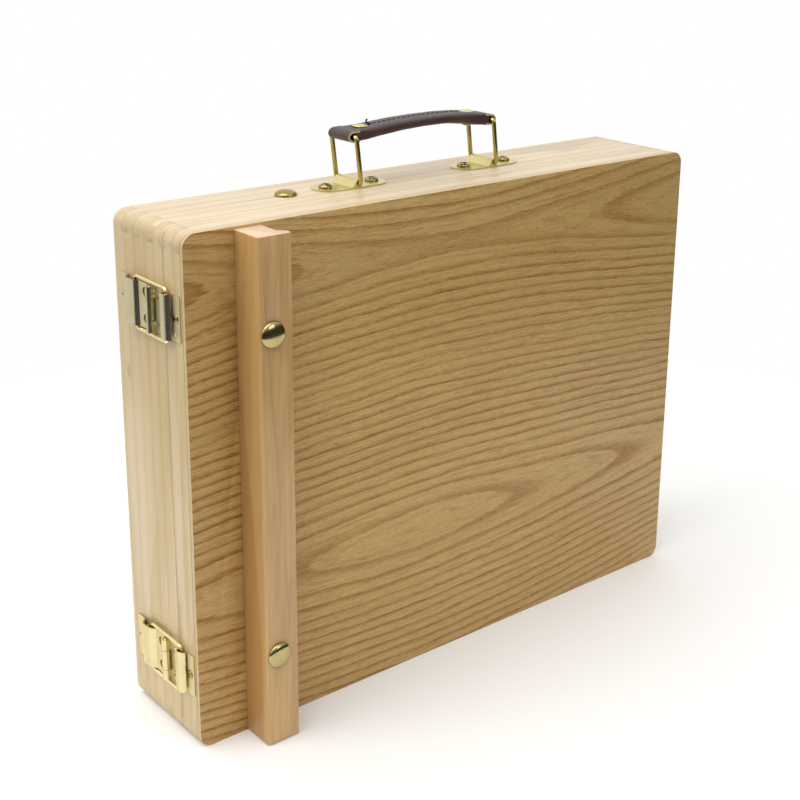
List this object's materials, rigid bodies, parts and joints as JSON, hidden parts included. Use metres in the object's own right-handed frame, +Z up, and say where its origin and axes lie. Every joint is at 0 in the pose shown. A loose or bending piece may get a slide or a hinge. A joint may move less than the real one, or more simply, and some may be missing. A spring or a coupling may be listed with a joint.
{
  "type": "wooden artist easel",
  "caption": "Shallow wooden sketch-box easel with a hinged lid, a canvas ledge bar, draw latches and a leather strap handle on wire rings.",
  "frame": {"origin": "centre of the case's bottom face, on the surface that the closed easel stands on", "axes": "+Z up; +X along the long side from the latches to the hinges; -Y towards the lid's outer face, +Y towards the back panel"},
  "size_m": [0.4071, 0.1025, 0.3482],
  "materials": {
    "pine": "satin",
    "ash_veneer": "satin",
    "plywood": "satin",
    "beech": "satin",
    "brass": "polished",
    "pale_brass": "polished",
    "leather": "satin"
  },
  "bodies": {
    "base": {"base_left_wall": "pine", "base_right_wall": "pine", "base_top_wall": "pine", "base_bottom_wall": "pine", "back_panel": "plywood", "long_divider": "plywood", "short_divider": "plywood", "stay_bolt": "brass", "stay_washer": "brass", "handle_plate_left": "brass", "handle_plate_right": "brass", "handle_screw_left_outer": "brass", "handle_screw_left_inner": "brass", "handle_screw_right_outer": "brass", "handle_screw_right_inner": "brass", "latch_base_upper": "pale_brass", "latch_base_lower": "pale_brass", "latch_pin_upper": "pale_brass", "latch_pin_lower": "pale_brass", "latch_screw_upper_front_low": "brass", "latch_screw_upper_front_high": "brass", "latch_screw_upper_back_low": "brass", "latch_screw_upper_back_high": "brass", "latch_screw_lower_front_low": "brass", "latch_screw_lower_front_high": "brass", "latch_screw_lower_back_low": "brass", "latch_screw_lower_back_high": "brass", "hinge_base_leaf_upper": "pale_brass", "hinge_base_leaf_lower": "pale_brass", "hinge_pin_upper": "pale_brass", "hinge_pin_lower": "pale_brass"},
    "lid": {"lid_left_wall": "pine", "lid_right_wall": "pine", "lid_top_wall": "pine", "lid_bottom_wall": "pine", "front_panel": "ash_veneer", "ledge_bar": "beech", "ledge_bolt_upper": "brass", "ledge_bolt_lower": "brass", "ledge_washer_upper": "brass", "ledge_washer_lower": "brass", "latch_hook_upper": "pale_brass", "latch_hook_lower": "pale_brass", "hook_screw_upper": "brass", "hook_screw_lower": "brass", "hinge_lid_leaf_upper": "pale_brass", "hinge_lid_leaf_lower": "pale_brass"},
    "stay_arm": {"stay_arm": "beech"},
    "stay_nut": {"stay_wing_nut": "brass"},
    "ledge_nut_upper": {"ledge_wing_nut_upper": "brass"},
    "ledge_nut_lower": {"ledge_wing_nut_lower": "brass"},
    "lever_upper": {"latch_lever_upper": "pale_brass"},
    "loop_upper": {"latch_loop_upper": "brass"},
    "lever_lower": {"latch_lever_lower": "pale_brass"},
    "loop_lower": {"latch_loop_lower": "brass"},
    "ring_left": {"handle_ring_left": "brass"},
    "ring_right": {"handle_ring_right": "brass"},
    "strap": {"handle_strap": "leather", "strap_rivet_left": "brass", "strap_rivet_right": "brass"}
  },
  "joints": [
    {"name": "lid_hinge", "type": "hinge", "parent": "base", "child": "lid", "pos_m": [0.20095, -0.017, 0.155], "axis": [0, 0, 1], "range_deg": [0, 110]},
    {"name": "stay_arm_swing", "type": "hinge", "parent": "base", "child": "stay_arm", "pos_m": [-0.10105, 0.009, 0.2954], "axis": [0, 0, 1], "range_deg": [-55, 0]},
    {"name": "stay_nut_turn", "type": "hinge", "parent": "base", "child": "stay_nut", "pos_m": [-0.10105, 0.009, 0.287], "axis": [0, 0, 1], "range_deg": [0, 350]},
    {"name": "ledge_nut_upper_turn", "type": "hinge", "parent": "lid", "child": "ledge_nut_upper", "pos_m": [-0.15825, -0.03, 0.2535], "axis": [0, 1, 0], "range_deg": [0, 350]},
    {"name": "ledge_nut_lower_turn", "type": "hinge", "parent": "lid", "child": "ledge_nut_lower", "pos_m": [-0.15825, -0.03, 0.0583], "axis": [0, 1, 0], "range_deg": [0, 350]},
    {"name": "lever_upper_turn", "type": "hinge", "parent": "base", "child": "lever_upper", "pos_m": [-0.20165, -0.0065, 0.2625], "axis": [0, 0, 1], "range_deg": [0, 48]},
    {"name": "loop_upper_turn", "type": "hinge", "parent": "lever_upper", "child": "loop_upper", "pos_m": [-0.20025, 0.0116, 0.2625], "axis": [0, 0, 1], "range_deg": [-24.5, 0]},
    {"name": "lever_lower_turn", "type": "hinge", "parent": "base", "child": "lever_lower", "pos_m": [-0.20165, -0.0065, 0.0462], "axis": [0, 0, 1], "range_deg": [0, 48]},
    {"name": "loop_lower_turn", "type": "hinge", "parent": "lever_lower", "child": "loop_lower", "pos_m": [-0.20025, 0.0116, 0.0462], "axis": [0, 0, 1], "range_deg": [-24.5, 0]},
    {"name": "ring_left_turn", "type": "hinge", "parent": "base", "child": "ring_left", "pos_m": [-0.055, 0.009, 0.3132], "axis": [0, 1, 0], "range_deg": [-68, 82]},
    {"name": "ring_right_turn", "type": "hinge", "parent": "base", "child": "ring_right", "pos_m": [0.055, 0.009, 0.3132], "axis": [0, 1, 0], "range_deg": [-68, 82]},
    {"name": "strap_turn", "type": "hinge", "parent": "ring_left", "child": "strap", "pos_m": [-0.05847, 0.009, 0.34149], "axis": [0, 1, 0], "range_deg": [-82, 68]}
  ],
  "couplings": [
    {"joint": "stay_arm_swing", "follows": "lid_hinge", "ratio": -0.5},
    {"joint": "loop_upper_turn", "follows": "lever_upper_turn", "ratio": -0.51},
    {"joint": "loop_lower_turn", "follows": "lever_lower_turn", "ratio": -0.51},
    {"joint": "ring_right_turn", "follows": "ring_left_turn", "ratio": 1},
    {"joint": "strap_turn", "follows": "ring_left_turn", "ratio": -1}
  ]
}
